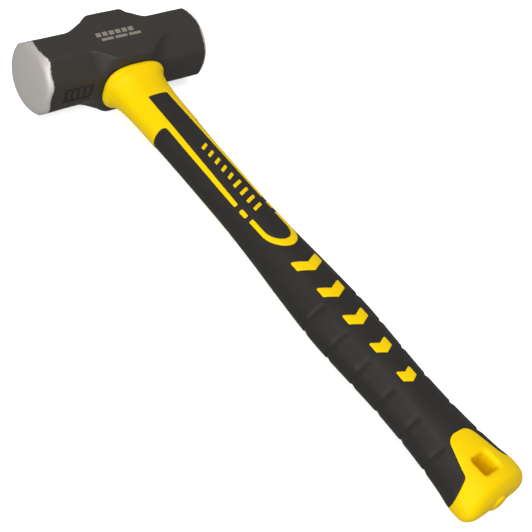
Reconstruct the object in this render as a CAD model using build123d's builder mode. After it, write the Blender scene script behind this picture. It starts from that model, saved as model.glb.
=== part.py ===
from build123d import *
from math import copysign, cos, pi, sin
import os

os.makedirs("parts", exist_ok=True)

# Short-handled sledgehammer lying on one cheek of its head.
# X runs along the head from face to face, Y along the handle towards the top of the head,
# Z up. The origin is on the supporting surface, under the middle of the hammer.

# Whole tool
overall_length = 401.4
head_flats = 45.0
boss_height = 23.9
eye_y = overall_length / 2 - boss_height
axis_z = head_flats / 2

# Head
head_length = 127.8
face_crown = 0.8
face_radius = 18.2
crown_radius = (face_radius**2 + face_crown**2) / (2 * face_crown)
bevel_radius = 24.3
bevel_length = 5.2
bevel_curve = 9.0
face_x = head_length / 2
rim_x = face_x - face_crown
bevel_x = face_x - bevel_length
boss_flat_height = 21.8
boss_side_depth = 17.4
boss_shoulder = 15.8
boss_slope = 0.714
boss_shoulder_radius = 8.0
boss_foot_radius = 10.0
boss_root = 38.0
flat_half = 0.5 * head_flats * (2**0.5 - 1)
label_pocket = (20.0, 11.2, 1.0)
label_corner = 0.8
label_pocket_x = -38.8
label_bar = (2.4, 7.6, 0.8)
label_bar_pitch = 4.6
label_bar_count = 4

# Eye through the head, widest at the top so that the resin cannot pull out
eye_fullness = 2.2
eye_stations = [
    (boss_height, 14.4, 11.4),
    (-boss_height, 12.6, 9.8),
]
resin_recess = 0.8

# Fibreglass rod
rod_width = 20.0
rod_depth = 14.0
rod_corner = 6.0
rod_top = boss_height - 1.2
rod_end = -338.0
rod_key_depth = 1.2
rod_key_length = 4.0
rod_key_pitch = 9.0
rod_key_centre = 0.0
rod_key_count = 4

# Handle: distance from the eye, half width along X, half depth along Z
handle_fullness = 2.3
oval_points = 24
handle_stations = [
    (-boss_height, 18.9, 12.6),
    (-52.0, 18.2, 12.0),
    (-87.0, 16.4, 12.2),
    (-149.0, 15.4, 12.8),
    (-176.0, 16.3, 13.6),
    (-208.0, 18.6, 14.3),
    (-245.0, 20.6, 14.4),
    (-298.0, 18.1, 14.1),
    (-331.0, 19.3, 14.1),
    (-352.0, 22.0, 14.2),
    (-364.8, 24.7, 14.3),
]
butt_end = boss_height - overall_length
gate_radius = 5.5
gate_height = 1.2
gate_depth = 6.0
dome_end = butt_end + gate_height
butt_stations = [
    (-364.8, 24.7, 14.3),
    (dome_end + 5.0, 24.9, 12.6),
    (dome_end + 2.5, 23.8, 9.7),
    (dome_end + 1.2, 22.4, 7.0),
    (dome_end + 0.4, 20.6, 4.1),
    (dome_end, 18.0, 1.6),
]

# Collar under the head
collar_fullness = 2.8
collar_lip = 4.2
collar_stations = [
    (-boss_height, 22.4, 17.0),
    (-boss_height - collar_lip, 22.4, 17.0),
]
flare_stations = [
    (-boss_height - collar_lip, 21.4, 15.6),
    (-32.0, 19.9, 13.9),
    (-38.0, 19.1, 12.8),
    (-48.0, 18.6, 12.2),
]

# Rubber overmould: its thickness and its outline seen from above, from the eye towards the butt.
# A panel runs between two yellow stripes, each side has a strip, and both join the grip below.
skin = 2.2
panel_top = -49.8
panel_top_half = 7.2
panel_end_half = 9.1
strip_top = -74.5
strip_edge = 11.5
strip_corner = 3.0
stripe_end = -149.0
dash_start = -153.1
dash_end = -159.3
dash_width = 2.5
dash_round = 1.0
bow_start = -162.8
bow_outer = (11.2, 14.7, -175.4)
bow_inner = (8.5, 10.8, -173.8)
chevron_halves = [9.8, 8.5, 7.6, 6.2, 5.2]
chevron_start = -204.8
chevron_pitch = 21.8
chevron_depth = 7.1
chevron_slope = 0.48
chevron_round = 0.8
tongue_top = -334.8
tongue_top_half = 7.2
tongue_neck = (14.7, -357.7)
tongue_side = (30.0, -365.4)
tongue_radius = 6.4
neck_radius = 4.0
tick_count = 9
tick_start = -99.5
tick_pitch = 6.9
tick_width = 2.6
tick_half_heights = (2.6, 3.6)
tick_slant = 1.4
large_tick_from = 5

# Finger grooves around both narrow edges of the rubber
groove_count = 6
groove_start = -233.5
groove_pitch = 20.9
groove_width = 1.6
groove_depth = 0.7
groove_reach = 12.0

# Hanging hole through the butt
hole_y = -357.8
hole_size = (11.6, 12.0)
hole_corner = 2.4

# Far enough to cut through anything in the handle or the head
reach = 30.0

plan = Plane((0, eye_y, axis_z))
end_view = Plane(origin=(0, eye_y, axis_z), x_dir=(0, 1, 0), z_dir=(1, 0, 0))


def across(y):
    """Plane across the handle at distance y from the eye, facing the butt."""
    return Plane(origin=(0, eye_y + y, axis_z), x_dir=(1, 0, 0), z_dir=(0, -1, 0))


def signed_power(value, power):
    """Power of a number that keeps its sign."""
    return copysign(abs(value) ** power, value)


def oval(station, fullness, inset=0.0):
    """Superellipse face across the handle, inset evenly from its stated half sizes."""
    y, half_width, half_depth = station
    points = []
    for index in range(oval_points):
        turn = 2 * pi * index / oval_points
        x = (half_width - inset) * signed_power(cos(turn), 2 / fullness)
        z = (half_depth - inset) * signed_power(sin(turn), 2 / fullness)
        points.append((x, z))
    with BuildSketch(across(y)) as section:
        with BuildLine():
            Spline(*points, periodic=True)
        make_face()
    return section.sketch


def ovals(stations, fullness, inset=0.0):
    """One face for each station, ready to loft."""
    return [oval(station, fullness, inset) for station in stations]


# ------------------------------------------------------------------ head
def boss_outline(height, level):
    """Eye boss seen from above, at a level over the head's axis: shoulders run out to the bar."""
    foot = boss_shoulder + boss_slope * (height - flat_half)
    upper = [
        (-boss_root, flat_half),
        (-foot, flat_half),
        (-boss_shoulder, height),
        (boss_shoulder, height),
        (foot, flat_half),
        (boss_root, flat_half),
    ]
    lower = [(x, -y) for x, y in reversed(upper)]
    with BuildSketch(plan.offset(level)) as outline:
        with BuildLine():
            Polyline(*upper, *lower, close=True)
        make_face()
        corners = outline.vertices()
        fillet(corners.filter_by(lambda v: abs(v.X) < boss_shoulder + 1), boss_shoulder_radius)
        corners = outline.vertices()
        fillet(corners.filter_by(lambda v: abs(abs(v.X) - foot) < 0.01), boss_foot_radius)
    return outline.sketch


with BuildPart() as hammer_head:
    # Eye boss with sloping edges to the cheeks
    wide = [boss_outline(boss_height, level) for level in (boss_side_depth, -boss_side_depth)]
    narrow = [boss_outline(boss_flat_height, level) for level in (axis_z, -axis_z)]
    loft(sections=wide, ruled=True)
    loft(sections=[wide[0], narrow[0]], ruled=True)
    loft(sections=[wide[1], narrow[1]], ruled=True)
    # Octagonal bar
    with BuildSketch(end_view):
        RegularPolygon(axis_z, 8, major_radius=False, rotation=22.5)
    extrude(amount=face_x, both=True)
    # Crowned and bevelled striking faces
    with BuildSketch(plan):
        with BuildLine():
            RadiusArc((face_x, 0), (rim_x, face_radius), -crown_radius)
            RadiusArc((rim_x, face_radius), (bevel_x, bevel_radius), -bevel_curve)
            Polyline((bevel_x, bevel_radius), (bevel_x, reach), (0, reach), (0, 0), (face_x, 0))
        make_face()
        mirror(about=Plane.YZ)
    revolve(axis=Axis((0, eye_y, axis_z), (1, 0, 0)), mode=Mode.INTERSECT)
    # Recessed label with raised bars on the underside
    with BuildSketch(across(-axis_z)):
        with Locations((label_pocket_x, 0)):
            RectangleRounded(label_pocket[0], label_pocket[1], label_corner)
    extrude(amount=-label_pocket[2], mode=Mode.SUBTRACT)
    with BuildSketch(across(-axis_z + label_pocket[2])):
        with Locations((label_pocket_x, 0)):
            with GridLocations(label_bar_pitch, 1, label_bar_count, 1):
                Rectangle(label_bar[0], label_bar[1])
    extrude(amount=label_bar[2])
    # Eye
    loft(sections=ovals(eye_stations, eye_fullness), mode=Mode.SUBTRACT)
hammer_head.part.label = "hammer_head"
export_step(hammer_head.part, "parts/hammer_head.step")


# ------------------------------------------------------------------ core rod
with BuildPart() as core_rod:
    with BuildSketch(across(rod_end)):
        RectangleRounded(rod_width, rod_depth, rod_corner)
    extrude(amount=rod_end - rod_top)
    # Notches that key the rod into the resin
    with BuildSketch(plan):
        with Locations((0, rod_key_centre)):
            with GridLocations(rod_width, rod_key_pitch, 2, rod_key_count):
                Rectangle(2 * rod_key_depth, rod_key_length)
    extrude(amount=rod_depth, both=True, mode=Mode.SUBTRACT)
core_rod.part.label = "core_rod"
export_step(core_rod.part, "parts/core_rod.step")


# ------------------------------------------------------------------ resin in the eye
with BuildPart() as eye_resin:
    loft(sections=ovals(eye_stations, eye_fullness))
    split(bisect_by=across(boss_height - resin_recess), keep=Keep.TOP)
    add(core_rod.part, mode=Mode.SUBTRACT)
eye_resin.part.label = "eye_resin"
export_step(eye_resin.part, "parts/eye_resin.step")


# ------------------------------------------------------------------ shared handle shapes
with BuildPart() as handle_envelope:
    loft(sections=ovals(handle_stations, handle_fullness))
    loft(sections=ovals(butt_stations, handle_fullness))
    # Low round boss in the middle of the butt
    with BuildSketch(across(butt_end)):
        Circle(gate_radius)
    extrude(amount=-gate_depth)

with BuildPart() as jacket_core:
    loft(sections=ovals(handle_stations, handle_fullness, inset=skin))


def stripe(side):
    """Long yellow stripe beside the panel, with a rounded lower end."""
    with BuildSketch() as band:
        Polygon(
            (side * panel_top_half, panel_top),
            (side * strip_edge, panel_top),
            (side * strip_edge, stripe_end),
            (side * panel_end_half, stripe_end),
            align=None,
        )
        fillet(band.vertices().sort_by(Axis.Y)[:2], dash_round)
    return band.sketch


def bow(outline):
    """Half ellipse with straight sides, cut off level at the top of the bow."""
    half_width, depth, centre = outline
    with BuildSketch() as arch:
        with Locations((0, centre)):
            Ellipse(half_width, depth)
        with Locations((0, centre + reach / 2)):
            Rectangle(2 * half_width, reach)
        with Locations((0, bow_start + reach)):
            Rectangle(2 * reach, 2 * reach, mode=Mode.SUBTRACT)
    return arch.sketch


def chevron(index):
    """Arrow that points to the butt, with its arm ends cut along the handle."""
    notch = chevron_start - index * chevron_pitch
    half_width = chevron_halves[index]
    rise = chevron_slope * half_width
    with BuildSketch() as arrow:
        Polygon(
            (0, notch),
            (half_width, notch + rise),
            (half_width, notch + rise - chevron_depth),
            (0, notch - chevron_depth),
            (-half_width, notch + rise - chevron_depth),
            (-half_width, notch + rise),
            align=None,
        )
        fillet(arrow.vertices(), chevron_round)
    return arrow.sketch


def tick(index):
    """One slanted bar of the row along the panel."""
    half_height = tick_half_heights[index >= large_tick_from]
    y = tick_start - index * tick_pitch
    with BuildSketch() as bar:
        Polygon(
            (-half_height, y - tick_slant),
            (half_height, y + tick_slant),
            (half_height, y + tick_slant - tick_width),
            (-half_height, y - tick_slant - tick_width),
            align=None,
        )
    return bar.sketch


def butt_cap():
    """Yellow butt seen from above, with a tongue up the middle of the handle."""
    neck_x, neck_y = tongue_neck
    side_x, side_y = tongue_side
    with BuildSketch() as cap:
        Polygon(
            (-tongue_top_half, tongue_top),
            (tongue_top_half, tongue_top),
            (neck_x, neck_y),
            (side_x, side_y),
            (side_x, butt_end - reach),
            (-side_x, butt_end - reach),
            (-side_x, side_y),
            (-neck_x, neck_y),
            align=None,
        )
        fillet(cap.vertices().filter_by(lambda v: abs(v.Y - tongue_top) < 1), tongue_radius)
        fillet(cap.vertices().filter_by(lambda v: abs(v.Y - neck_y) < 1), neck_radius)
    return cap.sketch


# The space that the rubber fills: its outline from above, less the jacket inside it
with BuildPart() as grip_zone:
    with BuildSketch(plan):
        Polygon(
            (panel_top_half, panel_top),
            (-panel_top_half, panel_top),
            (-panel_end_half, stripe_end),
            (panel_end_half, stripe_end),
            align=None,
        )
        with Locations((0, (dash_start + butt_end) / 2)):
            Rectangle(2 * reach, dash_start - butt_end)
        with Locations((0, (stripe_end + dash_end) / 2)):
            Rectangle(2 * strip_edge + 1, stripe_end - dash_end + 2 * dash_round)
        for side in (1, -1):
            with Locations((side * (strip_edge + reach / 2), (strip_top + dash_end) / 2)):
                RectangleRounded(reach, strip_top - dash_end, strip_corner)
            add(stripe(side), mode=Mode.SUBTRACT)
            with Locations((side * (panel_end_half + strip_edge) / 2, (dash_start + dash_end) / 2)):
                RectangleRounded(dash_width, dash_start - dash_end, dash_round, mode=Mode.SUBTRACT)
        add(bow(bow_outer), mode=Mode.SUBTRACT)
        add(bow(bow_inner))
        for index in range(len(chevron_halves)):
            add(chevron(index), mode=Mode.SUBTRACT)
        for index in range(tick_count):
            add(tick(index), mode=Mode.SUBTRACT)
        add(butt_cap(), mode=Mode.SUBTRACT)
    extrude(amount=reach, both=True)
    add(jacket_core.part, mode=Mode.SUBTRACT)


# ------------------------------------------------------------------ rubber overmould
with BuildPart() as groove_core:
    loft(sections=ovals(handle_stations, handle_fullness, inset=groove_depth))

with BuildPart() as groove_cutter:
    for index in range(groove_count):
        with BuildSketch(across(groove_start - index * groove_pitch)):
            with GridLocations(2 * (groove_reach + reach / 2), 1, 2, 1):
                Rectangle(reach, 2 * reach)
        extrude(amount=groove_width)
    add(groove_core.part, mode=Mode.SUBTRACT)

with BuildPart() as grip_overmould:
    add(handle_envelope.part)
    add(grip_zone.part, mode=Mode.INTERSECT)
    add(groove_cutter.part, mode=Mode.SUBTRACT)
grip_overmould.part.label = "grip_overmould"
export_step(grip_overmould.part, "parts/grip_overmould.step")


# ------------------------------------------------------------------ yellow jacket
with BuildPart() as handle_jacket:
    add(handle_envelope.part)
    loft(sections=ovals(collar_stations, collar_fullness))
    loft(sections=ovals(flare_stations, handle_fullness))
    add(grip_zone.part, mode=Mode.SUBTRACT)
    add(core_rod.part, mode=Mode.SUBTRACT)
    with BuildSketch(plan):
        with Locations((0, hole_y)):
            RectangleRounded(hole_size[0], hole_size[1], hole_corner)
    extrude(amount=reach, both=True, mode=Mode.SUBTRACT)
handle_jacket.part.label = "handle_jacket"
export_step(handle_jacket.part, "parts/handle_jacket.step")

for piece in (hammer_head, core_rod, eye_resin, handle_jacket, grip_overmould):
    print(piece.part.label, len(piece.part.solids()), round(piece.part.volume), piece.part.is_valid)
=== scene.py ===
import math

import bmesh
import bpy
import numpy as np
import openvdb
from mathutils import Matrix, Vector
from mathutils.geometry import delaunay_2d_cdt


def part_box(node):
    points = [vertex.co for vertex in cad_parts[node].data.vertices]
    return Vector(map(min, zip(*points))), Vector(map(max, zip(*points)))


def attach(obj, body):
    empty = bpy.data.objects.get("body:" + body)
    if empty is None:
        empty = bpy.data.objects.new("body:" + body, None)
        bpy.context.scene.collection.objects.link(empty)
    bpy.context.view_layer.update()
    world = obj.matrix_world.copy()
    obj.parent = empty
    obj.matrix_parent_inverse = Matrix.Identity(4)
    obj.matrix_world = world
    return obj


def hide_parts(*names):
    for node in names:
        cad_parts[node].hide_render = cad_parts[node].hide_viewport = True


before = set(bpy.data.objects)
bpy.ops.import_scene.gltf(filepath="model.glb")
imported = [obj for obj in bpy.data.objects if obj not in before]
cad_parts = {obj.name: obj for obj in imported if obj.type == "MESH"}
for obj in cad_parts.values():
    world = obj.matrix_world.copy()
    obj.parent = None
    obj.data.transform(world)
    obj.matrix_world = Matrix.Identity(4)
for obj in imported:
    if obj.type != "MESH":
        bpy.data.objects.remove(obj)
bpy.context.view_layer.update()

# Lengths below are millimetres from the middle of the eye: X along the head, Y towards the
# head's top (the handle runs along -Y), Z up. to_row() turns them into the row frame.
MM = 0.001
head_low, head_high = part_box("hammer_head")
jacket_low, jacket_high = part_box("handle_jacket")
EYE = (head_low + head_high) / 2
HEAD_LENGTH = (head_high.x - head_low.x) / MM
AXIS_Z = (head_high.z - head_low.z) / 2 / MM
BOSS_HEIGHT = (head_high.y - head_low.y) / 2 / MM
BUTT_END = (jacket_low.y - EYE.y) / MM


def to_row(points):
    """Millimetres from the eye to metres in the row frame."""
    return np.asarray(points) * MM + np.array(EYE)


# ------------------------------------------------------------------ camera, floor and light
# Place in millimetres from the eye, angles in degrees, lens and sensor in millimetres
CAMERA_PLACE = (-440.99, -485.13, 496.63)
CAMERA_AZIMUTH = -54.980
CAMERA_ELEVATION = 43.638
CAMERA_ROLL = 23.567
LENS = 83.41
SENSOR = 36.0
SHIFT = (0.0044, -0.0062)
# Metres: floor side, and each light's name, place, size, power in watts and colour
FLOOR_SIZE = 12.0
WORLD_STRENGTH = 0.36
LIGHTS = (
    ("overhead", (-0.3, -0.2, 1.4), (1.2, 1.2), 12.0, (1.0, 0.96, 0.90)),
    ("front_left", (-1.6, -0.6, 0.55), (1.4, 1.0), 18.0, (0.95, 0.975, 1.0)),
)


def make_camera():
    """Camera at the fitted viewing angle, rolled about its own axis."""
    data = bpy.data.cameras.new("camera")
    data.lens = LENS
    data.sensor_width = SENSOR
    data.shift_x, data.shift_y = SHIFT
    data.clip_start, data.clip_end = 0.01, 20.0
    camera = bpy.data.objects.new("camera", data)
    a, e = math.radians(CAMERA_AZIMUTH), math.radians(CAMERA_ELEVATION)
    back = Vector((math.sin(a) * math.cos(e), -math.cos(a) * math.cos(e), math.sin(e)))
    turn = (-back).to_track_quat("-Z", "Y").to_matrix()
    roll = Matrix.Rotation(math.radians(CAMERA_ROLL), 3, "Z")
    camera.matrix_world = Matrix.Translation(Vector(to_row(CAMERA_PLACE))) @ (turn @ roll).to_4x4()
    bpy.context.scene.collection.objects.link(camera)
    bpy.context.scene.camera = camera


def area_light(name, place, size, power, colour):
    """Soft rectangular light at a place in metres, aimed at the row frame's origin."""
    data = bpy.data.lights.new(name, "AREA")
    data.shape = "RECTANGLE"
    data.size, data.size_y = size
    data.energy = power
    data.color = colour
    light = bpy.data.objects.new(name, data)
    light.location = place
    light.rotation_euler = (-Vector(place)).to_track_quat("-Z", "Y").to_euler()
    bpy.context.scene.collection.objects.link(light)


def make_world(strength):
    """Even white surroundings."""
    world = bpy.data.worlds.new("studio")
    world.use_nodes = True
    background = world.node_tree.nodes["Background"]
    background.inputs["Color"].default_value = (1.0, 1.0, 1.0, 1.0)
    background.inputs["Strength"].default_value = strength
    bpy.context.scene.world = world


def make_floor():
    """Plain pale floor under the hammer."""
    mesh = bpy.data.meshes.new("floor")
    half = FLOOR_SIZE / 2
    corners = [(-half, -half, 0), (half, -half, 0), (half, half, 0), (-half, half, 0)]
    mesh.from_pydata(corners, [], [(0, 1, 2, 3)])
    floor = bpy.data.objects.new("floor", mesh)
    bpy.context.scene.collection.objects.link(floor)
    floor.data.materials.append(floor_finish())
    # The glowing floor stays white round the hammer without lighting it from below
    floor.visible_diffuse = False
    floor.visible_glossy = False


# ------------------------------------------------------------------ finishes
class Finish:
    """A Principled material whose nodes are added and linked in one call each."""

    def __init__(self, name, **values):
        self.material = bpy.data.materials.new(name)
        self.material.use_nodes = True
        self.tree = self.material.node_tree
        self.shader = self.tree.nodes["Principled BSDF"]
        self.feed(self.shader, values)
        self.place = self.add("ShaderNodeTexCoord").outputs["Object"]

    def feed(self, node, inputs):
        """Sets each input by name or number, or links it if it is given a socket."""
        for name, value in inputs.items():
            key = name if isinstance(name, int) else name.replace("_", " ")
            socket = node.inputs[key]
            if isinstance(value, bpy.types.NodeSocket):
                self.tree.links.new(value, socket)
            else:
                socket.default_value = value

    def add(self, kind, settings=None, **inputs):
        """A node with settings and inputs."""
        node = self.tree.nodes.new(kind)
        for name, value in (settings or {}).items():
            setattr(node, name, value)
        self.feed(node, inputs)
        return node

    def maths(self, operation, *values):
        """A Math node over numbers and sockets."""
        node = self.add("ShaderNodeMath", {"operation": operation})
        self.feed(node, dict(enumerate(values)))
        return node.outputs[0]

    def spread(self, value, low, high, to_low=0.0, to_high=1.0):
        """A value's range mapped smoothly to another range."""
        node = self.add("ShaderNodeMapRange", {"interpolation_type": "SMOOTHSTEP"})
        self.feed(node, {0: value, 1: low, 2: high, 3: to_low, 4: to_high})
        return node.outputs[0]

    def noise(self, size, detail=2.0, stretch=(1.0, 1.0, 1.0), roughness=0.5):
        """Noise whose grains are about that size in millimetres."""
        scaled = self.add("ShaderNodeMapping", Vector=self.place, Scale=[s / (size * MM) for s in stretch])
        node = self.add("ShaderNodeTexNoise", Vector=scaled.outputs[0], Scale=1.0, Detail=detail)
        node.inputs["Roughness"].default_value = roughness
        return node.outputs["Fac"]

    def mix(self, share, first, second):
        """Colour between two colours."""
        node = self.add("ShaderNodeMix", {"data_type": "RGBA"})
        self.feed(node, {0: share, 6: first, 7: second})
        return node.outputs[2]

    def bump(self, height, depth):
        """Surface relief of a depth in millimetres."""
        return self.add("ShaderNodeBump", Height=height, Distance=depth * MM, Strength=1.0).outputs[0]


def floor_finish():
    """Matt white studio floor, faintly uneven in tone, with a glow of its own."""
    glow = {"Emission_Color": (1.0, 1.0, 1.0, 1.0), "Emission_Strength": 0.7}
    finish = Finish("floor_white", Roughness=0.9, **glow)
    tone = finish.mix(finish.noise(180.0, 3.0), (0.93, 0.93, 0.93, 1), (0.95, 0.95, 0.95, 1))
    finish.feed(finish.shader, {"Base_Color": tone})
    return finish.material


def yellow_finish():
    """Semi-gloss moulded plastic: slight flow variation and a fine orange-peel skin."""
    finish = Finish("yellow_plastic", IOR=1.49, Specular_IOR_Level=0.1)
    flow = finish.noise(38.0, 3.0, (1.0, 0.35, 1.0))
    tone = finish.mix(flow, (0.955, 0.640, 0.000, 1), (0.985, 0.690, 0.000, 1))
    finish.feed(finish.shader, {
        "Base_Color": tone,
        "Roughness": finish.spread(finish.noise(6.0, 3.0), 0.2, 0.8, 0.34, 0.44),
        "Normal": finish.bump(finish.noise(1.1, 2.0), 0.02),
    })
    return finish.material


def rubber_finish():
    """Satin moulded rubber with a fine spark-eroded grain."""
    finish = Finish("black_rubber", IOR=1.5, Specular_IOR_Level=0.25)
    tone = finish.mix(finish.noise(16.0, 4.0), (0.018, 0.0165, 0.0155, 1), (0.026, 0.024, 0.0225, 1))
    finish.feed(finish.shader, {
        "Base_Color": tone,
        "Roughness": finish.spread(finish.noise(3.0, 3.0), 0.2, 0.8, 0.46, 0.58),
        "Normal": finish.bump(finish.noise(0.45, 2.0), 0.03),
    })
    return finish.material


# Paint ends where |x| plus a share of the distance from the head's axis passes a limit,
# which is where the bevel was ground through it: a little sooner at the octagon's corners
PAINT_END_X, PAINT_END_RADIUS, PAINT_SHARE = 58.8, 24.3, 0.65
PAINT_LIMIT = PAINT_END_X + PAINT_END_RADIUS * PAINT_SHARE
PAINT_LEAST_RADIUS = 22.4
PAINT_RAGGED = 2.2
PAINT_WORN = 2.6


def paint_edge(finish, long, radius):
    """Masks of the bare steel, and of the paint worn thin beside it."""
    rise = finish.maths("MULTIPLY", finish.maths("MAXIMUM", radius, PAINT_LEAST_RADIUS * MM), PAINT_SHARE)
    unevenness = finish.maths("SUBTRACT", finish.noise(2.2, 5.0, roughness=0.6), 0.5)
    past = finish.maths("ADD", long, rise)
    past = finish.maths("ADD", past, finish.maths("MULTIPLY", unevenness, PAINT_RAGGED * MM))
    bare = finish.spread(past, (PAINT_LIMIT - 0.15) * MM, (PAINT_LIMIT + 0.1) * MM)
    worn = finish.spread(past, (PAINT_LIMIT - PAINT_WORN) * MM, PAINT_LIMIT * MM)
    return bare, worn


def head_finish():
    """Satin black paint over forged steel, two striking faces ground bare, and a plain print."""
    finish = Finish("head_steel", Specular_IOR_Level=0.3)
    here = finish.add("ShaderNodeVectorMath", {"operation": "SUBTRACT"})
    finish.feed(here, {0: finish.place, 1: tuple(EYE)})
    x, y, z = finish.add("ShaderNodeSeparateXYZ", Vector=here.outputs[0]).outputs
    long = finish.maths("ABSOLUTE", x)
    squares = finish.maths("ADD", finish.maths("MULTIPLY", y, y), finish.maths("MULTIPLY", z, z))
    radius = finish.maths("SQRT", squares)
    bare, worn = paint_edge(finish, long, radius)
    specks = finish.spread(finish.noise(0.9, 3.0, roughness=0.7), 0.56, 0.64)
    flecks = finish.maths("MULTIPLY", specks, worn)
    bars = [bar_row(finish, x, y, *row) for row in (UPPER_PRINT, LOWER_PRINT)]
    upper_side = finish.spread(z, (AXIS_Z - 0.6) * MM, (AXIS_Z - 0.4) * MM)
    print_mask = finish.maths("MULTIPLY", finish.maths("MAXIMUM", *bars), upper_side)
    rubbed = finish.spread(finish.noise(0.8, 4.0, roughness=0.7), 0.36, 0.46, 0.45, 0.92)
    print_mask = finish.maths("MULTIPLY", print_mask, rubbed)
    paint = finish.mix(finish.noise(9.0, 5.0), (0.032, 0.0288, 0.0258, 1), (0.043, 0.0388, 0.0348, 1))
    paint = finish.mix(finish.maths("MULTIPLY", flecks, 0.45), paint, (0.12, 0.12, 0.125, 1))
    paint = finish.mix(print_mask, paint, (0.30, 0.275, 0.235, 1))
    steel = finish.mix(finish.noise(1.6, 6.0, roughness=0.62), (0.50, 0.465, 0.43, 1), (0.66, 0.620, 0.58, 1))
    grain = finish.noise(0.9, 3.0)
    ground = finish.noise(0.35, 2.0, (0.25, 1.0, 4.0))
    relief = finish.add("ShaderNodeMix", {"data_type": "FLOAT"})
    finish.feed(relief, {0: bare, 2: grain, 3: ground})
    finish.feed(finish.shader, {
        "Base_Color": finish.mix(bare, paint, steel),
        "Metallic": finish.maths("MULTIPLY", bare, 0.35),
        "Roughness": finish.spread(bare, 0.0, 1.0, 0.50, 0.42),
        "Normal": finish.bump(relief.outputs[0], 0.035),
    })
    return finish.material


# Rows of plain bars on the upper cheek: start along X, pitch, count, share filled,
# middle in Y, half height
UPPER_PRINT = (-17.6, 5.0, 6, 0.74, 1.3, 1.9)
LOWER_PRINT = (-15.2, 10.6, 3, 0.86, -3.5, 1.2)
PRINT_SLANT, PRINT_SOFTNESS = 0.22, 0.12


def bar_row(finish, x, y, start, pitch, count, filled, middle, half):
    """Mask of a row of slightly slanted bars."""
    slanted = finish.maths("SUBTRACT", x, finish.maths("MULTIPLY", y, PRINT_SLANT))
    along = finish.maths("DIVIDE", finish.maths("SUBTRACT", slanted, start * MM), pitch * MM)
    place = finish.maths("ABSOLUTE", finish.maths("SUBTRACT", finish.maths("FRACT", along), 0.5))
    soft = PRINT_SOFTNESS / pitch
    bars = finish.spread(place, filled / 2 - soft, filled / 2 + soft, 1.0, 0.0)
    height = finish.maths("ABSOLUTE", finish.maths("SUBTRACT", y, middle * MM))
    row = finish.spread(height, (half - PRINT_SOFTNESS) * MM, (half + PRINT_SOFTNESS) * MM, 1.0, 0.0)
    from_middle = finish.maths("ABSOLUTE", finish.maths("SUBTRACT", along, count / 2))
    within = finish.maths("LESS_THAN", from_middle, count / 2)
    return finish.maths("MULTIPLY", finish.maths("MULTIPLY", bars, row), within)


def rod_finish():
    """Pultruded glass fibre: pale straw colour with fine lengthwise streaks."""
    finish = Finish("fibreglass", Roughness=0.55)
    streaks = finish.noise(0.6, 3.0, (1.0, 0.04, 1.0))
    tone = finish.mix(streaks, (0.42, 0.36, 0.20, 1), (0.62, 0.56, 0.38, 1))
    finish.feed(finish.shader, {"Base_Color": tone, "Normal": finish.bump(streaks, 0.04)})
    return finish.material


def resin_finish():
    """Poured black epoxy: glossy, faintly uneven, with pinprick bubbles."""
    finish = Finish("resin", IOR=1.55)
    bubbles = finish.spread(finish.noise(1.1, 1.0), 0.66, 0.72)
    tone = finish.mix(finish.noise(6.0, 3.0), (0.022, 0.016, 0.011, 1), (0.040, 0.030, 0.020, 1))
    finish.feed(finish.shader, {
        "Base_Color": tone,
        "Roughness": finish.spread(bubbles, 0.0, 1.0, 0.16, 0.45),
        "Normal": finish.bump(finish.maths("SUBTRACT", finish.noise(4.0, 2.0), bubbles), 0.12),
    })
    return finish.material


# ------------------------------------------------------------------ handle shape
FULLNESS = 2.3
# Rows across the handle: Y, half width along X, half depth along Z, fullness of the oval
COLLAR_ROWS = [
    (-23.9, 21.3, 15.9, 2.8),
    (-24.2, 22.0, 16.6, 2.8),
    (-24.9, 22.35, 16.95, 2.8),
    (-26.4, 22.4, 17.0, 2.8),
    (-27.5, 22.1, 16.7, 2.8),
    (-28.2, 21.5, 16.0, 2.75),
    (-29.0, 20.8, 15.1, 2.7),
    (-32.0, 19.9, 13.9, 2.6),
    (-38.0, 19.1, 12.8, 2.4),
    (-46.0, 18.5, 12.2, FULLNESS),
]
BODY_ROWS = [
    (-52.0, 18.1, 11.9, FULLNESS),
    (-68.0, 17.3, 11.9, FULLNESS),
    (-87.0, 16.4, 12.15, FULLNESS),
    (-118.0, 15.6, 12.5, FULLNESS),
    (-149.0, 15.4, 12.8, FULLNESS),
    (-176.0, 16.3, 13.6, FULLNESS),
    (-208.0, 18.6, 14.3, FULLNESS),
    (-245.0, 20.6, 14.4, FULLNESS),
    (-272.0, 19.4, 14.25, FULLNESS),
    (-298.0, 18.3, 14.1, FULLNESS),
    (-331.0, 19.6, 14.1, FULLNESS),
    (-352.0, 22.3, 14.2, FULLNESS),
    (-364.8, 24.7, 14.3, FULLNESS),
]
# The gate mark stands proud of the domed end by this much
GATE_HEIGHT = 1.1
DOME_END = BUTT_END + GATE_HEIGHT
DOME_ROWS = [
    (DOME_END + 5.4, 24.5, 12.6, FULLNESS),
    (DOME_END + 2.9, 23.3, 9.7, FULLNESS),
    (DOME_END + 1.4, 21.4, 7.0, FULLNESS),
    (DOME_END + 0.5, 18.9, 4.1, FULLNESS),
    (DOME_END, 15.6, 1.6, FULLNESS),
]
# The moulding bows sideways by about half a millimetre: station and X of its middle
SWAY = (
    (24.0, 0.0),
    (60.0, 0.3),
    (110.0, 0.0),
    (200.0, -0.5),
    (260.0, -0.45),
    (330.0, 0.0),
    (360.0, 0.35),
    (378.0, 0.6),
)
# The butt's end is moulded a little out of square, over its last stretch
END_SKEW, SKEW_START, SKEW_END = 0.06, 350.0, 372.0
# Thickness of the skin, and the millimetres of u per radian round the handle
SKIN = 2.2
SPREAD = 18.5
EDGE = SPREAD * math.pi / 2


def eased(value, start, end):
    """Smooth rise from nought at the start to one at the end."""
    share = np.clip((value - start) / (end - start), 0, 1)
    return share * share * (3 - 2 * share)


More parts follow.
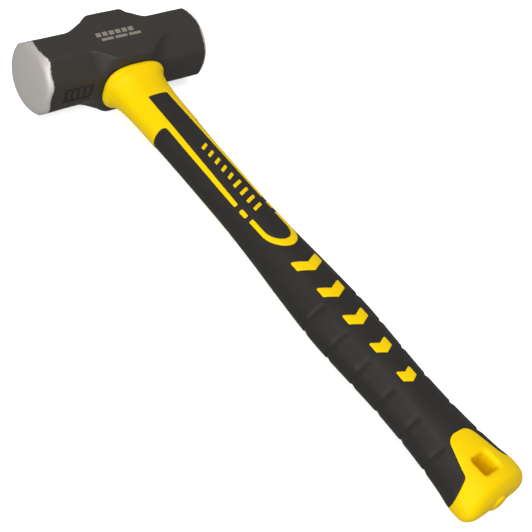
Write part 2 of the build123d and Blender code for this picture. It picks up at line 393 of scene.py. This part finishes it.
def walked(rows):
    """Distance walked from row to row, for rows that turn over a lip or a dome."""
    rows = np.array(rows)
    return np.concatenate([[0.0], np.cumsum(np.hypot(np.diff(rows[:, 0]), np.diff(rows[:, 2])))])


def curve_through(knots, values, at):
    """Smooth curve through values at uneven knots."""
    slopes = np.gradient(values, knots)
    i = np.clip(np.searchsorted(knots, at) - 1, 0, len(knots) - 2)
    step = knots[i + 1] - knots[i]
    s = (at - knots[i]) / step
    start = (1 + 2 * s) * (1 - s) ** 2 * values[i] + s * (1 - s) ** 2 * step * slopes[i]
    end = s * s * (3 - 2 * s) * values[i + 1] + s * s * (s - 1) * step * slopes[i + 1]
    return start + end


# A station is a distance along the handle's skin from the eye; along the body it equals -Y
body_stations = -np.array(BODY_ROWS)[:, 0]
collar_walk = walked(COLLAR_ROWS + BODY_ROWS[:1])
dome_walk = walked(BODY_ROWS[-1:] + DOME_ROWS)
KNOTS = np.concatenate([
    body_stations[0] + collar_walk[:-1] - collar_walk[-1],
    body_stations,
    body_stations[-1] + dome_walk[1:],
])
FIRST, LAST = KNOTS[0], KNOTS[-1]
ROWS = np.array(COLLAR_ROWS + BODY_ROWS + DOME_ROWS)
TABLE_AT = np.linspace(FIRST, LAST, 6000)
TABLE = [curve_through(KNOTS, column, TABLE_AT) for column in ROWS.T]


def row_at(station):
    """Y, half width, half depth and fullness of the handle at a station."""
    return [np.interp(station, TABLE_AT, column) for column in TABLE]


def bare_skin(u, station):
    """Point of the handle's upper skin. u runs round it, from -EDGE at -X to EDGE at +X."""
    y, half_width, half_depth, fullness = row_at(station)
    across, up = np.sin(u / SPREAD), np.cos(u / SPREAD)
    reach = (np.abs(across) ** fullness + np.abs(up) ** fullness) ** (-1 / fullness)
    sway = curve_through(*np.array(SWAY).T, station)
    x = half_width * reach * across + sway
    y = y + END_SKEW * x * eased(station, SKEW_START, SKEW_END)
    return np.stack([x, y, half_depth * reach * up], -1)


def skin_frame(u, station):
    """Point, outward normal and millimetres per unit of u on the upper skin."""
    small = 0.02
    low, high = np.clip(station - small, FIRST, LAST), np.clip(station + small, FIRST, LAST)
    along_u = (bare_skin(u + small, station) - bare_skin(u - small, station)) / (2 * small)
    along_station = (bare_skin(u, high) - bare_skin(u, low)) / (high - low)[:, None]
    normal = np.cross(along_station, along_u)
    normal /= np.linalg.norm(normal, axis=1)[:, None]
    return bare_skin(u, station), normal, np.linalg.norm(along_u, axis=1)


def to_skin(plan):
    """Plan points (X, Y) to (u, station) on the upper skin; past its side they land on the edge."""
    plan = np.asarray(plan, float)
    station = -plan[:, 1]
    _, half_width, _, fullness = row_at(station)
    across = np.clip(plan[:, 0] / half_width, -1, 1)
    up = (1 - np.abs(across) ** fullness) ** (1 / fullness)
    return np.stack([SPREAD * np.arctan2(across, up), station], -1)


# ------------------------------------------------------------------ yellow and black, in plan
# Places along the handle are Y, and halves are half widths in X. Each of the bow's ellipses has
# a half width, a depth and the Y of its middle. The tongue's side point is past the handle's edge
PANEL_TOP, PANEL_TOP_HALF, PANEL_END_HALF, PANEL_ROUND = -49.3, 7.4, 9.1, 0.5
STRIP_TOP, STRIP_EDGE, STRIP_CORNER = -74.5, 11.5, 3.0
STRIPE_END, STRIPE_ROUND = -149.0, 1.0
DASH_START, DASH_END, DASH_WIDTH = -153.1, -159.3, 2.5
BOW_START = -162.8
BOW_OUTER = (11.2, 14.7, -175.4)
BOW_INNER = (8.5, 10.8, -173.8)
CHEVRON_HALVES = [9.8, 8.5, 7.6, 6.2, 5.2]
CHEVRON_START, CHEVRON_PITCH, CHEVRON_DEPTH, CHEVRON_SLOPE = -204.8, 21.8, 7.1, 0.48
SMALL_ROUND = 0.8
TONGUE_TOP, TONGUE_HALF, TONGUE_ROUND = -335.6, 8.0, 7.6
TONGUE_NECK, NECK_ROUND = (15.6, -358.4), 4.0
TONGUE_SIDE = (30.0, -365.4)
TICK_COUNT, TICK_START, TICK_PITCH, TICK_WIDTH, TICK_SLANT = 9, -99.5, 6.9, 2.6, 1.4
TICK_HALVES = (2.6, 3.6)
LARGE_TICK_FROM = 5
TICK_ROUND = 0.5
HOLE_Y, HOLE_SIZE, HOLE_CORNER = -357.8, (11.6, 12.0), 2.4
# Steps of a dense path, and the bend and run at which a thinned path needs its next point
FINE = 0.2
MAX_BEND = math.radians(11.0)
MAX_RUN = 1.1


def rounded_path(corners, closed=True):
    """Dense path through corners (X, Y, radius), with an arc at each corner."""
    spots = np.array([corner[:2] for corner in corners], float)
    radii = [corner[2] for corner in corners]
    points = []
    for i, (spot, radius) in enumerate(zip(spots, radii)):
        if not closed and i in (0, len(spots) - 1):
            points.append(spot)
            continue
        back, ahead = spots[i - 1] - spot, spots[(i + 1) % len(spots)] - spot
        back, ahead = back / np.linalg.norm(back), ahead / np.linalg.norm(ahead)
        half = 0.5 * math.acos(np.clip(back @ ahead, -1, 1))
        bisector = (back + ahead) / np.linalg.norm(back + ahead)
        centre = spot + bisector * radius / math.sin(half)
        start, end = spot + back * radius / math.tan(half), spot + ahead * radius / math.tan(half)
        first = math.atan2(*(start - centre)[::-1])
        swing = (math.atan2(*(end - centre)[::-1]) - first + math.pi) % (2 * math.pi) - math.pi
        count = max(3, int(radius * abs(swing) / FINE) + 2)
        for angle in first + swing * np.linspace(0, 1, count):
            points.append(centre + radius * np.array([math.cos(angle), math.sin(angle)]))
    return filled_in(points, closed)


def filled_in(points, closed):
    """The same path with long runs divided into fine steps."""
    points = list(points) + ([points[0]] if closed else [])
    dense = []
    for start, end in zip(points[:-1], points[1:]):
        count = max(1, int(np.linalg.norm(end - start) / FINE + 0.5))
        dense += [start + (end - start) * k / count for k in range(count)]
    return np.array(dense if closed else dense + [points[-1]])


def mirror_pair(path):
    """A path and its mirror image in X."""
    return [path, path * (-1, 1)]


def across_path(half):
    """Open path from side to side through half of its corners and their mirror images."""
    return rounded_path([(-x, y, radius) for x, y, radius in half[::-1]] + half, closed=False)


def upper_outline():
    """Edge of the yellow below the head: a strip's top, a stripe, the panel's top and back again."""
    return across_path([
        (PANEL_TOP_HALF, PANEL_TOP, PANEL_ROUND),
        (PANEL_END_HALF, STRIPE_END, STRIPE_ROUND),
        (STRIP_EDGE, STRIPE_END, STRIPE_ROUND),
        (STRIP_EDGE, STRIP_TOP, STRIP_CORNER),
        (TONGUE_SIDE[0], STRIP_TOP, 0),
    ])


def butt_outline():
    """Edge of the yellow butt, with its tongue up the middle of the handle."""
    return across_path([
        (TONGUE_HALF, TONGUE_TOP, TONGUE_ROUND),
        (*TONGUE_NECK, NECK_ROUND),
        (*TONGUE_SIDE, 0),
    ])


def half_ellipse(half_width, depth, centre):
    """Lower half of an ellipse, from its right end to its left end."""
    turns = np.linspace(0, math.pi, 90)
    return [np.array([half_width * math.cos(turn), centre - depth * math.sin(turn)]) for turn in turns]


def bow_outline():
    """Yellow bow that closes the panel, with its two ends cut level."""
    outer, inner = half_ellipse(*BOW_OUTER), half_ellipse(*BOW_INNER)[::-1]
    ends = [(-BOW_OUTER[0], BOW_START, SMALL_ROUND), (-BOW_INNER[0], BOW_START, SMALL_ROUND)]
    left = rounded_path([(*outer[-1], 0), *ends, (*inner[0], 0)], closed=False)
    right = left[::-1] * (-1, 1)
    return filled_in([*outer[1:-1], *left, *inner[1:-1], *right], closed=True)


def chevron_outline(index):
    """Arrow that points to the butt, with its arm ends cut along the handle."""
    notch = CHEVRON_START - index * CHEVRON_PITCH
    half = CHEVRON_HALVES[index]
    arm = notch + CHEVRON_SLOPE * half
    corners = [(0, notch), (half, arm), (half, arm - CHEVRON_DEPTH)]
    corners += [(0, notch - CHEVRON_DEPTH), (-half, arm - CHEVRON_DEPTH), (-half, arm)]
    return rounded_path([(*corner, SMALL_ROUND) for corner in corners])


def tick_outline(index):
    """One slanted bar of the plain row along the panel."""
    half = TICK_HALVES[index >= LARGE_TICK_FROM]
    y = TICK_START - index * TICK_PITCH
    corners = [(-half, y - TICK_SLANT), (half, y + TICK_SLANT)]
    corners += [(half, y + TICK_SLANT - TICK_WIDTH), (-half, y - TICK_SLANT - TICK_WIDTH)]
    return rounded_path([(*corner, TICK_ROUND) for corner in corners])


def box_outline(x, y, width, height, radius):
    """Rounded rectangle."""
    sides = [(-1, -1), (1, -1), (1, 1), (-1, 1)]
    return rounded_path([(x + i * width / 2, y + j * height / 2, radius) for i, j in sides])


def thinned(path, closed):
    """Path on the skin with only the points that its bends and length need, and their left normals."""
    scale = skin_frame(*path.T)[2]
    if closed:
        ahead, behind = np.roll(path, -1, 0), np.roll(path, 1, 0)
    else:
        ahead, behind = np.vstack([path[1:], path[-1:]]), np.vstack([path[:1], path[:-1]])
    heading = (ahead - behind) * np.stack([scale, np.ones_like(scale)], -1)
    heading /= np.linalg.norm(heading, axis=1)[:, None]
    angle = np.unwrap(np.arctan2(heading[:, 1], heading[:, 0]))
    keep, last, walked_on = [0], 0, 0.0
    for i in range(1, len(path)):
        walked_on += math.hypot((path[i, 0] - path[i - 1, 0]) * scale[i], path[i, 1] - path[i - 1, 1])
        bent = abs(angle[i] - angle[last]) > MAX_BEND
        at_end = not closed and i == len(path) - 1
        if bent or walked_on > MAX_RUN or at_end:
            keep.append(i)
            last, walked_on = i, 0.0
    normals = np.stack([-heading[keep, 1] / scale[keep], heading[keep, 0]], -1)
    return path[keep], normals


# ------------------------------------------------------------------ handle mesh
# Rounded edge of the yellow, and the offsets from each outline at which the mesh has a ring
LIP = 0.4
LIP_RINGS = (0.12, LIP)
HOLE_LIP = 2.8
HOLE_RINGS = (0.3, 0.8, 1.4, 2.1, HOLE_LIP)
HOLE_WAIST = 1.0
# Spacing of the mesh, its room beside the rings and beside their ends on the border, how far
# along the handle a line is looked for, and where the rows are closer
LATTICE = 1.25
CLEAR = 0.45
END_CLEAR = (1.0, 0.25)
NEARBY = 6.0
COLLAR_REACH, COLLAR_SPACING = 32.0, 0.5
NECK_REACH, NECK_SPACING = 50.0, 1.0
DOME_START, DOME_SPACING = 364.0, 0.6
GROOVE_CLEAR = 0.55
# Finger grooves: stations, depth, |x| over which they fade in, rows of the mesh and section
GROOVE_COUNT, GROOVE_START, GROOVE_PITCH, GROOVE_DEPTH = 6, 233.5, 20.9, 0.75
GROOVE_REACH = (11.6, 13.0)
GROOVE_ROWS = (-1.1, -0.5, 0.0, 0.5, 1.2, 2.2, 3.4)
GROOVE_SHAPE = ((-1.1, 0.0), (-0.35, 0.55), (0.0, 1.0), (0.5, 0.9), (3.4, 0.0))
# Height of the yellow over the rubber: station and rise
RAISE = ((40.0, 0.0), (75.0, 0.35), (320.0, 0.35), (345.0, 0.2), (368.0, 0.0))


def lip(gap, radius):
    """Drop of a rounded edge of that radius at a distance inside it."""
    inward = np.clip(radius - gap, 0, radius)
    return radius - np.sqrt(radius**2 - inward**2)


def distance_to(points, scale, paths):
    """Distance in millimetres from skin points to the nearest of some (path, closed) lines."""
    nearest = np.full(len(points), 1e9)
    for path, closed in paths:
        start = path if closed else path[:-1]
        end = np.roll(path, -1, 0) if closed else path[1:]
        after, before = points[:, 1] > path[:, 1].min() - NEARBY, points[:, 1] < path[:, 1].max() + NEARBY
        near = after & before
        stretch = np.stack([scale[near], np.ones(near.sum())], -1)[:, None]
        run = (end - start)[None] * stretch
        away = (points[near][:, None] - start[None]) * stretch
        share = np.clip((run * away).sum(-1) / (run * run).sum(-1), 0, 1)[..., None]
        nearest[near] = np.minimum(nearest[near], np.linalg.norm(away - run * share, axis=-1).min(1))
    return nearest


def is_inside(points, loop):
    """Whether each point lies inside a closed loop."""
    x, y = points[:, :1], points[:, 1:]
    x0, y0 = loop.T
    x1, y1 = np.roll(loop, -1, 0).T
    rise = np.where(y1 == y0, 1e-12, y1 - y0)
    crossed = ((y0 > y) != (y1 > y)) & (x < x0 + (y - y0) * (x1 - x0) / rise)
    return crossed.sum(1) % 2 == 1


def lattice_stations():
    """Stations of the mesh's rows: close where the handle turns or is grooved."""
    grooves = [GROOVE_START + k * GROOVE_PITCH + row for k in range(GROOVE_COUNT) for row in GROOVE_ROWS]
    rows = list(np.arange(FIRST, COLLAR_REACH, COLLAR_SPACING))
    rows += list(np.arange(COLLAR_REACH, NECK_REACH, NECK_SPACING))
    rows += list(np.arange(NECK_REACH, DOME_START, LATTICE))
    rows += list(np.arange(DOME_START, LAST, DOME_SPACING))
    rows = [row for row in rows if min(abs(row - groove) for groove in grooves) > GROOVE_CLEAR]
    return np.array(sorted(rows + grooves) + [LAST])


def open_lines():
    """The two outlines that run from side to side, cut where they reach the sides."""
    lines = []
    for outline in (upper_outline(), butt_outline()):
        line = to_skin(outline)
        on_skin = np.flatnonzero(np.abs(line[:, 0]) < EDGE - 1e-6)
        lines.append(line[on_skin[0] - 1:on_skin[-1] + 2])
    return lines


def yellow_loops():
    """Outlines of the dashes, bow, chevrons and bars that show yellow through the rubber."""
    dash_x = (PANEL_END_HALF + STRIP_EDGE) / 2
    dash = box_outline(dash_x, (DASH_START + DASH_END) / 2, DASH_WIDTH, DASH_START - DASH_END, STRIPE_ROUND)
    loops = mirror_pair(dash) + [bow_outline()]
    loops += [chevron_outline(index) for index in range(len(CHEVRON_HALVES))]
    loops += [tick_outline(index) for index in range(TICK_COUNT)]
    return [to_skin(loop) for loop in loops]


def ring_mesh(lines):
    """Points and edges of each line and of the rings beside it, and those paths themselves."""
    points, edges, fences = [], [], []
    for path, normals, closed, rings in lines:
        for offset in (0.0, *rings, *(-ring for ring in rings)):
            ring = path + normals * offset
            if not closed:
                ring[[0, -1], 0] = -EDGE, EDGE
            count, base = len(ring), len(points)
            points += list(ring)
            edges += [(base + i, base + (i + 1) % count) for i in range(count if closed else count - 1)]
            fences.append((ring, closed))
    return points, edges, fences


def filling(fences):
    """Mesh points between the rings, and along the skin's border."""
    stations = lattice_stations()
    columns = np.arange(-EDGE, EDGE + 0.1, LATTICE * EDGE / (round(EDGE / LATTICE) * LATTICE))
    lattice = []
    for k, row in enumerate(stations):
        stagger = (k % 2 - 0.5) * LATTICE / 2
        lattice += [(u + stagger, row) for u in columns[1:-1]]
    lattice = np.array(lattice)
    spare = distance_to(lattice, skin_frame(*lattice.T)[2], fences) > CLEAR
    border = [(side, row) for side in (-EDGE, EDGE) for row in stations]
    border += [(u, row) for u in columns[1:-1] for row in (FIRST, LAST)]
    ends = [point for ring, closed in fences if not closed for point in (ring[0], ring[-1])]

    def is_clear(spot):
        return all((np.abs(np.subtract(spot, end)) > END_CLEAR).any() for end in ends)

    return list(lattice[spare]) + [np.array(spot) for spot in border if is_clear(spot)]


def skin_mesh():
    """Triangles of the upper skin that follow every outline, with each triangle's colour."""
    hole = to_skin(box_outline(0, HOLE_Y, *HOLE_SIZE, HOLE_CORNER))
    lines = [(*thinned(line, False), False, LIP_RINGS) for line in open_lines()]
    lines += [(*thinned(loop, True), True, LIP_RINGS) for loop in yellow_loops()]
    lines += [(*thinned(hole, True), True, HOLE_RINGS)]
    points, edges, fences = ring_mesh(lines)
    points += filling(fences)
    base = len(points)
    points += [np.array(corner) for corner in ((-EDGE, FIRST), (EDGE, FIRST), (EDGE, LAST), (-EDGE, LAST))]
    edges += [(base + i, base + (i + 1) % 4) for i in range(4)]
    spots, _, triangles, *_ = delaunay_2d_cdt([Vector(point) for point in points], edges, [], 1, 1e-4, False)
    spots, triangles = np.array(spots, float), np.array(triangles)

    middles = spots[triangles].mean(1)
    yellow = np.zeros(len(triangles), bool)
    wide = 2 * EDGE
    for (path, *_), beyond in zip(lines[:2], (FIRST - 1, LAST + 1)):
        fence = [(wide, path[-1, 1]), (wide, beyond), (-wide, beyond), (-wide, path[0, 1])]
        yellow |= is_inside(middles, np.vstack([path, fence]))
    for path, *_ in lines[2:-1]:
        yellow |= is_inside(middles, path)
    hole_path = lines[-1][0]
    solid = ~is_inside(middles, hole_path)
    outlines = [(path, closed) for path, _, closed, _ in lines[:-1]]
    return spots, triangles[solid], yellow[solid], outlines, [(hole_path, True)]


def groove_drop(points, station):
    """Depth of the finger grooves, which run round both narrow sides."""
    drop = np.zeros(len(points))
    at, shape = np.array(GROOVE_SHAPE).T
    for k in range(GROOVE_COUNT):
        drop = np.maximum(drop, np.interp(station - GROOVE_START - k * GROOVE_PITCH, at, shape, 0, 0))
    return GROOVE_DEPTH * drop * eased(np.abs(points[:, 0]), *GROOVE_REACH)


def edges_between(triangles, first, second):
    """Directed edges of the first triangles whose other side is a second triangle."""
    def directed(some):
        return {(int(t[i]), int(t[(i + 1) % 3])) for t in some for i in range(3)}

    other = directed(second)
    return [(a, b) for a, b in directed(first) if (b, a) in other]


def border_edges(triangles):
    """Directed edges that belong to one triangle only."""
    edges = {(int(t[i]), int(t[(i + 1) % 3])) for t in triangles for i in range(3)}
    return [(a, b) for a, b in edges if (b, a) not in edges]


# Seams closer than this many metres are welded, and folds sharper than the angle stay crisp
WELD = 2e-6
SHARP_FROM = math.radians(55.0)


def new_piece(name, points, faces, finish):
    """Closed mesh in the row frame from millimetre points, with welded seams and smooth shading."""
    mesh = bpy.data.meshes.new(name)
    mesh.from_pydata([tuple(p) for p in to_row(points)], [], faces)
    build = bmesh.new()
    build.from_mesh(mesh)
    bmesh.ops.remove_doubles(build, verts=build.verts, dist=WELD)
    loose = [vertex for vertex in build.verts if not vertex.link_faces]
    bmesh.ops.delete(build, geom=loose, context="VERTS")
    bmesh.ops.recalc_face_normals(build, faces=build.faces)
    build.to_mesh(mesh)
    build.free()
    piece = bpy.data.objects.new(name, mesh)
    bpy.context.scene.collection.objects.link(piece)
    mesh.materials.append(finish)
    mesh.shade_smooth()
    mesh.set_sharp_from_angle(angle=SHARP_FROM)
    return piece


def both_halves(points, faces):
    """Upper half of a shape with its mirror image below, faces turned round."""
    count = len(points)
    lower = [tuple(count + i for i in face[::-1]) for face in faces]
    return np.vstack([points, points * (1, 1, -1)]), list(faces) + lower


# Low rounded gate mark in the middle of the butt: radius and Y, from inside the dome to its top
GATE_PROFILE = [
    (5.8, DOME_END + 1.5),
    (5.5, DOME_END - 0.05),
    (4.6, BUTT_END + 0.5),
    (3.2, BUTT_END + 0.18),
    (1.8, BUTT_END + 0.03),
    (0.8, BUTT_END),
]


def turned(profile, count=40):
    """Closed shape turned round the handle's axis from (radius, Y) points."""
    turns = np.linspace(0, 2 * math.pi, count, endpoint=False)
    points = np.array([(r * math.cos(a), y, r * math.sin(a)) for r, y in profile for a in turns])
    faces = []
    for near in range(0, (len(profile) - 1) * count, count):
        far = near + count
        for i in range(count):
            following = (i + 1) % count
            faces.append((near + i, near + following, far + following, far + i))
    last = (len(profile) - 1) * count
    return points, faces + [tuple(range(count))[::-1], tuple(range(last, last + count))]


def end_and_hole_walls(spots, triangles, tops, at_side):
    """Faces that close the skin's two ends and its hole, and the points of the hole's waist.

    The points they join are the tops, the core under them, and the mirror images of both.
    """
    below = 2 * len(spots)
    faces, waist, waisted = [], {}, []
    for a, b in border_edges(triangles):
        if at_side[a] and at_side[b]:
            continue
        if not FIRST + 1 < spots[a, 1] < LAST - 1:
            faces.append((b, a, a + below, b + below))
            continue
        # The hole narrows to a waist half way through, as the mould's two cores do
        for k in (a, b):
            if k not in waist:
                waist[k] = 2 * below + len(waisted)
                inward = np.array([0.0, HOLE_Y]) - tops[k, :2]
                inward *= HOLE_WAIST / np.linalg.norm(inward)
                waisted.append([*(tops[k, :2] + inward), 0.0])
        faces += [(b, a, waist[a], waist[b]), (waist[b], waist[a], a + below, b + below)]
    return faces, waisted


def make_handle(yellow_plastic, black_rubber):
    """The yellow jacket and the rubber moulded over it, from one triangulated skin."""
    spots, triangles, yellow, outlines, hole = skin_mesh()
    point, normal, scale = skin_frame(*spots.T)
    at_side = np.abs(np.abs(spots[:, 0]) - EDGE) < 1e-3
    point[at_side, 2] = 0.0
    normal[at_side, 2] = 0.0
    station = spots[:, 1]
    edge_drop = lip(distance_to(spots, scale, outlines), LIP)
    hole_drop = lip(distance_to(spots, scale, hole), HOLE_LIP)
    raised = np.interp(station, *np.array(RAISE).T)
    tops = point + normal * (raised - edge_drop - hole_drop)[:, None]
    rubber = point - normal * (edge_drop + groove_drop(point, station))[:, None]
    core = point - normal * SKIN
    count = len(spots)
    bright, dark = triangles[yellow], triangles[~yellow]
    rim = edges_between(triangles, bright, dark)

    walls = [(b, a, a + count, b + count) for a, b in rim]
    faces = [tuple(t) for t in bright] + [tuple(t + count) for t in dark] + walls
    points, faces = both_halves(np.vstack([tops, core]), faces)
    walls, waisted = end_and_hole_walls(spots, triangles, tops, at_side)
    faces += walls
    gate_points, gate_faces = turned(GATE_PROFILE)
    faces += [tuple(len(points) + len(waisted) + k for k in face) for face in gate_faces]
    points = np.vstack([points, waisted, gate_points])
    jacket = new_piece("jacket_moulding", points, faces, yellow_plastic)

    walls = [(a, b, b + count, a + count) for a, b in rim]
    faces = [tuple(t) for t in dark] + [tuple(t[::-1] + count) for t in dark] + walls
    points, faces = both_halves(np.vstack([rubber, core]), faces)
    grip = new_piece("grip_moulding", points, faces, black_rubber)
    return jacket, grip


# ------------------------------------------------------------------ head shape
HEAD_STEP, HEAD_MARGIN = 0.58, 1.5
OCTAGON_ROUND, CHEEK_ROUND = 2.0, 1.3
# Half widths of the octagon's flats; the die was a little skewed, so the near facets twist
FLAT_HALF, SIDE_HALF = AXIS_Z * math.tan(math.pi / 8), 9.6
NEAR_TWIST, FAR_TWIST, TWIST_LIMIT = -0.042, 0.01, 2.0
FACE_CROWN, FACE_RADIUS, FACE_ROUND = 0.8, 18.2, 0.6
CROWN_RADIUS = (FACE_RADIUS**2 + FACE_CROWN**2) / (2 * FACE_CROWN)
# The ground bevel round each face is an arc, from the rim of the face to the painted sides
BEVEL_CENTRE, BEVEL_ARC = (HEAD_LENGTH / 2 - 9.6, 16.5), 9.0
BEVEL_TURN, BEVEL_ROUND = np.radians((11.0, 60.5)), 0.25
# Shoulders of the eye boss: place at full height and run per millimetre of drop, steep and shallow
STEEP_SHOULDER, SHALLOW_SHOULDER = (16.3, 0.55), (13.4, 0.95)
BOSS_ROUND, BOSS_EDGE, BOSS_SIDE_DEPTH, NEAR_TAPER, FAR_TAPER = 4.0, 1.0, 17.4, 0.2, 0.42
# The fillet beside the boss grows from its middle to its shoulders, over these distances along X
BOSS_BLEND, BOSS_BLEND_X = (1.0, 9.0), (12.0, 21.0)
EYE_TOP, EYE_FOOT, EYE_FULLNESS, EYE_ROUND = (14.4, 11.4), (12.6, 9.8), 2.2, 0.8
POCKET_X, POCKET_SIZE, POCKET_DEPTH = -39.5, (21.5, 11.2), 1.3
POCKET_CORNER, POCKET_FLOOR_ROUND, POCKET_RIM_ROUND = 0.8, 0.2, 0.3
BAR_SIZE, BAR_HEIGHT, BAR_PITCH, BAR_COUNT = (2.4, 7.6), 0.9, 4.6, 4
BAR_CORNER, BAR_ROUND, BAR_ROOT = 0.5, 0.25, 1.0
# Forging is never quite flat; the boss is a little lower for it, to stay inside the CAD part
FORGE_WAVES, BOSS_LOWERED = 0.05, 0.12


def round_both(first, second, radius):
    """Distance to what two shapes share, with a rounded edge where they cross."""
    corner = np.hypot(np.maximum(first + radius, 0), np.maximum(second + radius, 0))
    return np.minimum(np.maximum(first, second), -radius) + corner


def round_either(first, second, radius):
    """Distance to two shapes joined, with a fillet where they meet."""
    return -round_both(-first, -second, radius)


def box_distance(across, along, size, radius):
    """Distance to a rounded rectangle."""
    away_x, away_z = np.abs(across) - size[0] / 2 + radius, np.abs(along) - size[1] / 2 + radius
    outside = np.hypot(np.maximum(away_x, 0), np.maximum(away_z, 0))
    return outside + np.minimum(np.maximum(away_x, away_z), 0) - radius


def bar_distance(x, tall, wide, near):
    """Distance to the octagonal bar, without its cheeks."""
    twist = np.where(near, NEAR_TWIST, FAR_TWIST) * x
    cheek_half = FLAT_HALF + np.clip(twist, -TWIST_LIMIT, TWIST_LIMIT)
    run, fall = AXIS_Z - SIDE_HALF, AXIS_Z - cheek_half
    slant = ((tall - AXIS_Z) * run + (wide - SIDE_HALF) * fall) / np.hypot(run, fall)
    return round_both(tall - AXIS_Z, slant, OCTAGON_ROUND)


def boss_distance(x, y, tall, wide, near):
    """Distance to the eye boss: sloping shoulders, and edges tapered towards the cheeks."""
    place, slope = (np.where(x * y > 0, *pair) for pair in zip(STEEP_SHOULDER, SHALLOW_SHOULDER))
    shoulder = (np.abs(x) - place - slope * (BOSS_HEIGHT - tall)) / np.hypot(1, slope)
    boss = round_both(tall - BOSS_HEIGHT, shoulder, BOSS_ROUND)
    taper = np.where(near, NEAR_TAPER, FAR_TAPER)
    tapered = (boss + taper * (wide - BOSS_SIDE_DEPTH)) / np.hypot(1, taper)
    return round_both(boss, tapered, BOSS_EDGE)


def forge_waves(x, y, z):
    """Slight unevenness of the forging, up to about twice FORGE_WAVES either way."""
    first = np.sin(x / 4.7 + 1.0) * np.sin(y / 5.3)
    second = np.sin(x / 3.1 + z / 4.1) * np.cos(y / 6.0 + z / 7.0)
    return FORGE_WAVES * (first + second)


def ground_distance(long, radius):
    """Distance to the crowned faces and their ground bevels."""
    out, up = long - BEVEL_CENTRE[0], radius - BEVEL_CENTRE[1]
    turn = np.clip(np.arctan2(up, out), *BEVEL_TURN)
    bevel = out * np.cos(turn) + up * np.sin(turn) - BEVEL_ARC
    face = long - HEAD_LENGTH / 2 + radius**2 / (2 * CROWN_RADIUS)
    return round_both(bevel, face, FACE_ROUND)


def with_label(body, x, y, z):
    """The body with the label pocket and its raised bars, on the side that faces the handle."""
    level = -y - AXIS_Z
    pocket = box_distance(x - POCKET_X, z, POCKET_SIZE, POCKET_CORNER)
    pocket = round_both(pocket, -level - POCKET_DEPTH, POCKET_FLOOR_ROUND)
    body = round_both(body, -pocket, POCKET_RIM_ROUND)
    plate = np.maximum(level + POCKET_DEPTH - BAR_HEIGHT, -level - POCKET_DEPTH - BAR_ROOT)
    for k in range(BAR_COUNT):
        bar_x = POCKET_X + (k - (BAR_COUNT - 1) / 2) * BAR_PITCH
        outline = box_distance(x - bar_x, z, BAR_SIZE, BAR_CORNER)
        body = np.minimum(body, round_both(outline, plate, BAR_ROUND))
    return body


def eye_distance(x, y, z):
    """Distance to the eye, which is wider at the head's top."""
    share = (y + BOSS_HEIGHT) / (2 * BOSS_HEIGHT)
    eye_x, eye_z = (foot + (top - foot) * share for foot, top in zip(EYE_FOOT, EYE_TOP))
    across = (np.abs(x / eye_x) ** EYE_FULLNESS + np.abs(z / eye_z) ** EYE_FULLNESS) ** (1 / EYE_FULLNESS)
    return (across - 1) * np.minimum(eye_x, eye_z)


def head_distance(x, y, z):
    """Signed distance to the forged head, in millimetres from the eye."""
    long, tall, wide = np.abs(x), np.abs(y), np.abs(z)
    near = y < 0
    bar = bar_distance(x, tall, wide, near)
    boss = boss_distance(x, y, tall, wide, near)
    blend = BOSS_BLEND[0] + (BOSS_BLEND[1] - BOSS_BLEND[0]) * eased(long, *BOSS_BLEND_X)
    body = round_either(bar, boss, blend)
    body = body + BOSS_LOWERED * np.clip(tall - AXIS_Z, 0, 1) + forge_waves(x, y, z)
    body = round_both(body, wide - AXIS_Z, CHEEK_ROUND)
    body = round_both(body, ground_distance(long, np.hypot(y, z)), BEVEL_ROUND)
    body = with_label(body, x, y, z)
    return round_both(body, -eye_distance(x, y, z), EYE_ROUND)


def settle(points, distance, rounds=4):
    """Moves points along the slope of a distance until they lie on its surface."""
    small, least_steep, longest_move = 0.02, 0.25, 0.3
    for _ in range(rounds):
        x, y, z = points.T
        here = distance(x, y, z)
        slope = np.stack([
            distance(x + small, y, z) - distance(x - small, y, z),
            distance(x, y + small, z) - distance(x, y - small, z),
            distance(x, y, z + small) - distance(x, y, z - small),
        ], -1) / (2 * small)
        steep = np.maximum((slope**2).sum(-1), least_steep)
        points = points - slope * np.clip(here / steep, -longest_move, longest_move)[:, None]
    return points


def shape_from(distance, low, high, step):
    """Points and faces of the surface where a distance is nought."""
    axes = [np.arange(a, b + step, step, dtype=np.float32) for a, b in zip(low, high)]
    grid = openvdb.FloatGrid(3.0 * step)
    grid.copyFromArray(distance(*np.meshgrid(*axes, indexing="ij")).astype(np.float32))
    points, triangles, quads = grid.convertToPolygons(0.0, 0.0)
    points = np.array(low) + np.array(points, float) * step
    faces = [tuple(map(int, face)) for face in [*triangles, *quads]]
    return settle(points, distance), faces


def make_head(finish):
    """The forged head as one closed mesh."""
    reach = np.array([HEAD_LENGTH / 2, BOSS_HEIGHT, AXIS_Z]) + HEAD_MARGIN
    points, faces = shape_from(head_distance, -reach, reach, HEAD_STEP)
    return new_piece("head_forging", points, faces, finish)


make_camera()
make_world(WORLD_STRENGTH)
make_floor()
for light in LIGHTS:
    area_light(*light)
jacket, grip = make_handle(yellow_finish(), rubber_finish())
head = make_head(head_finish())
for node, finish in (("core_rod", rod_finish()), ("eye_resin", resin_finish())):
    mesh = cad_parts[node].data
    mesh.materials.clear()
    mesh.materials.append(finish)
for piece, node, slot in (
    (jacket, "handle_jacket", "yellow_plastic"),
    (grip, "grip_overmould", "black_rubber"),
    (head, "hammer_head", "head_steel"),
):
    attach(piece, "root")
    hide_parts(node)
bpy.context.scene.view_settings.view_transform = "Standard"
